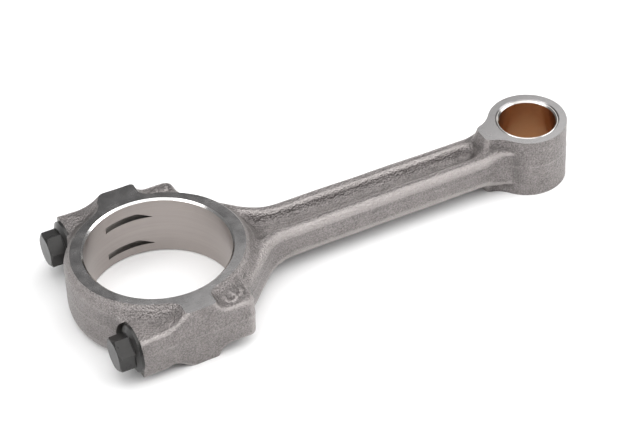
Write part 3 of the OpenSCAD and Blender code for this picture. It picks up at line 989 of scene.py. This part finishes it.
class CONROD_OT_bolts(bpy.types.Operator):
    """Make the two flanged cap bolts with their rolled threads"""

    bl_idname = "conrod.bolts"
    bl_label = "Cap Bolts"

    def execute(self, context):
        s = context.scene.conrod_bolt
        look = finishes(context.scene.conrod_finish)
        seat = -context.scene.conrod_machining.seat_x
        tree = thread_tree()
        for side, turn, name, body, node in (
                (NEAR, s.near_turn, "near_bolt", "near_bolt", "near_cap_bolt"),
                (FAR, s.far_turn, "far_bolt", "far_bolt", "far_cap_bolt")):
            bolt = new_object(name, self.head(s, name), [look["black"], look["worn"]])
            bevel = bolt.modifiers.new("Worn edges", "BEVEL")
            bevel.width, bevel.segments, bevel.material = s.edge_break, 2, 1
            bevel.limit_method, bevel.angle_limit = "ANGLE", math.radians(18)
            bevel.use_clamp_overlap = True
            apply_modifiers(bolt)
            bolt.data.transform(Matrix.Translation((seat, side * BOLT_Y, 0)) @ Matrix.Rotation(turn, 4, "X"))
            shank = run_tree("Shank", tree, {
                "Radius": s.radius, "Start": -s.flange_rim / 2, "End": BOLT_HIGH.x - seat,
                "Thread start": BOLT_HIGH.x - seat - s.thread_length, "Pitch": s.pitch,
                "Depth": s.thread_depth, "Columns": s.columns, "Rows": s.rows, "Material": look["black"]})
            shank.data.transform(Matrix.Translation((seat, side * BOLT_Y, 0)))
            combine(bolt, shank, "UNION")
            shade(bolt, math.radians(28))
            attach(bolt, body)
            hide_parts(node)
        return {"FINISHED"}

    def head(self, s, name):
        """Flange and chamfered hexagon, seated at x = 0 and reaching to -X."""
        angles = 2 * math.pi * np.arange(s.columns) / s.columns
        apothem = s.across_flats / 2
        flat = (angles + math.pi / 6) % (math.pi / 3) - math.pi / 6
        corner = np.cos(math.pi / 6) * s.hex_corner
        hexagon = apothem / np.maximum(np.cos(flat), corner)
        end = -s.flange_height - s.hex_height
        flat_r = apothem - s.hex_inset
        level = np.ones_like(angles)
        rows = [
            (0 * level, 0),
            (0 * level, s.radius + 1 * MM),
            (0 * level, FLANGE_R),
            (-s.flange_rim * level, FLANGE_R),
            (-s.flange_height * level, apothem + s.flange_ledge + 0.6 * MM),
            (-s.flange_height * level, hexagon),
            (end + (hexagon - flat_r) * s.chamfer_slope, hexagon),
            (end * level, flat_r),
            (end * level, 0)]
        shape = bmesh.new()
        rings = []
        for x, radius in rows:
            radius = radius * level
            if radius.max() == 0:
                rings.append([shape.verts.new((x[0], 0, 0))] * s.columns)
            else:
                rings.append([shape.verts.new((x[i], radius[i] * math.cos(a), radius[i] * math.sin(a)))
                              for i, a in enumerate(angles)])
        for lower, upper in zip(rings, rings[1:]):
            for i in range(s.columns):
                j = (i + 1) % s.columns
                shape.faces.new(list(dict.fromkeys([lower[i], lower[j], upper[j], upper[i]])))
        bmesh.ops.recalc_face_normals(shape, faces=shape.faces)
        mesh = bpy.data.meshes.new(name)
        shape.to_mesh(mesh)
        shape.free()
        return mesh


class CONROD_OT_stage(bpy.types.Operator):
    """Lay the floor and set the soft lights and the camera"""

    bl_idname = "conrod.stage"
    bl_label = "Stage"

    def execute(self, context):
        s = context.scene.conrod_stage
        self.floor(s)
        self.sky(context.scene, s)
        for name, place, target, turn, size, power in (
                ("Overhead softbox", (0.21, 0.0, 0.34), (0.21, 0.0, 0), 20, (1.0, 0.6), 3.4),
                ("Front softbox", (0.90, -0.52, 0.55), (0.07, 0, 0), 0, (0.9, 0.55), 5.0),
                ("Left softbox", (-0.85, -0.15, 0.55), (0.03, 0, 0), 0, (0.6, 0.8), 4.0)):
            self.softbox(name, Vector(place), Vector(target), math.radians(turn), size, power)
        self.camera(context.scene, s)
        context.scene.view_settings.view_transform = "Standard"
        return {"FINISHED"}

    def floor(self, s):
        """A large plain floor that the rod rests on."""
        mesh = bpy.data.meshes.new("Floor")
        reach = 6.0
        corners = [(-reach, -reach), (reach, -reach), (reach, reach), (-reach, reach)]
        mesh.from_pydata([(x, y, CAD_BOX[0].z) for x, y in corners], [], [(0, 1, 2, 3)])
        material, tree, shader, place = start_material("Pale floor", Roughness=0.75)
        cloud = noise(tree, place, 0.4, 2.0)
        tree.links.new(mix_colours(tree, cloud, scaled(s.floor, 0.985), s.floor), shader.inputs["Base Color"])
        new_object("Floor", mesh, [material])

    def sky(self, scene, s):
        """Even grey surroundings that are a little brighter overhead."""
        world = bpy.data.worlds.new("Studio")
        scene.world = world
        world.use_nodes = True
        tree = world.node_tree
        tree.nodes.clear()
        up = add(tree, "ShaderNodeSeparateXYZ", {0: add(tree, "ShaderNodeTexCoord").outputs["Generated"]})
        strength = remap(tree, up.outputs["Z"], -0.1, 0.9, 0.55 * s.sky, 1.5 * s.sky)
        background = add(tree, "ShaderNodeBackground", {"Color": (1, 1, 1, 1), "Strength": strength})
        add(tree, "ShaderNodeOutputWorld", {"Surface": background.outputs[0]})

    def softbox(self, name, place, target, turn, size, power):
        """A soft area light that the camera doesn't see."""
        light = bpy.data.lights.new(name, "AREA")
        light.shape = "RECTANGLE"
        light.size, light.size_y = size
        light.energy = power
        obj = bpy.data.objects.new(name, light)
        aimed = (target - place).to_track_quat("-Z", "Y").to_matrix().to_4x4()
        obj.matrix_world = Matrix.Translation(place) @ aimed @ Matrix.Rotation(turn, 4, "Z")
        obj.visible_camera = False
        bpy.context.scene.collection.objects.link(obj)

    def camera(self, scene, s):
        """The camera on its arc round the rod."""
        a, e = s.azimuth, s.elevation
        back = Vector((math.sin(a) * math.cos(e), -math.cos(a) * math.cos(e), math.sin(e)))
        right = (-back).cross(Vector((0, 0, 1))).normalized()
        turned = Matrix.Rotation(s.roll, 3, back) @ right
        frame_axes = Matrix((turned, back.cross(turned), back)).transposed()
        camera = bpy.data.cameras.new("Camera")
        camera.lens, camera.sensor_width = s.lens, 36
        camera.clip_start, camera.clip_end = 0.01, 30
        obj = bpy.data.objects.new("Camera", camera)
        obj.matrix_world = Matrix.Translation(Vector(s.aim) + back * s.distance) @ frame_axes.to_4x4()
        scene.collection.objects.link(obj)
        scene.camera = obj


class CONROD_PT_sidebar(bpy.types.Panel):
    """Settings and steps of the connecting rod"""

    bl_idname = "CONROD_PT_sidebar"
    bl_label = "Connecting Rod"
    bl_space_type = "VIEW_3D"
    bl_region_type = "UI"
    bl_category = "Connecting Rod"

    def draw(self, context):
        for group, step in STEPS:
            box = self.layout.box()
            for name in group:
                settings = getattr(context.scene, name)
                for key in settings.__annotations__:
                    box.prop(settings, key)
            box.operator(step.bl_idname)


SETTINGS = {
    "conrod_forging": ForgingSettings,
    "conrod_machining": MachiningSettings,
    "conrod_finish": FinishSettings,
    "conrod_bush": BushSettings,
    "conrod_bolt": BoltSettings,
    "conrod_stage": StageSettings,
}
STEPS = (
    (("conrod_forging", "conrod_machining", "conrod_finish"), CONROD_OT_forgings),
    (("conrod_bush",), CONROD_OT_bush),
    (("conrod_bolt",), CONROD_OT_bolts),
    (("conrod_stage",), CONROD_OT_stage),
)
CLASSES = (*SETTINGS.values(), *(step for group, step in STEPS), CONROD_PT_sidebar)


def register():
    """Registers the classes and adds the settings to the scene."""
    for cls in CLASSES:
        bpy.utils.register_class(cls)
    for name, cls in SETTINGS.items():
        setattr(bpy.types.Scene, name, PointerProperty(type=cls))


def unregister():
    """Removes the settings and the classes."""
    for name in SETTINGS:
        delattr(bpy.types.Scene, name)
    for cls in reversed(CLASSES):
        bpy.utils.unregister_class(cls)


def main():
    """Builds every piece and the stage."""
    register()
    bpy.ops.conrod.forgings()
    bpy.ops.conrod.bush()
    bpy.ops.conrod.bolts()
    bpy.ops.conrod.stage()


if __name__ == "__main__":
    main()
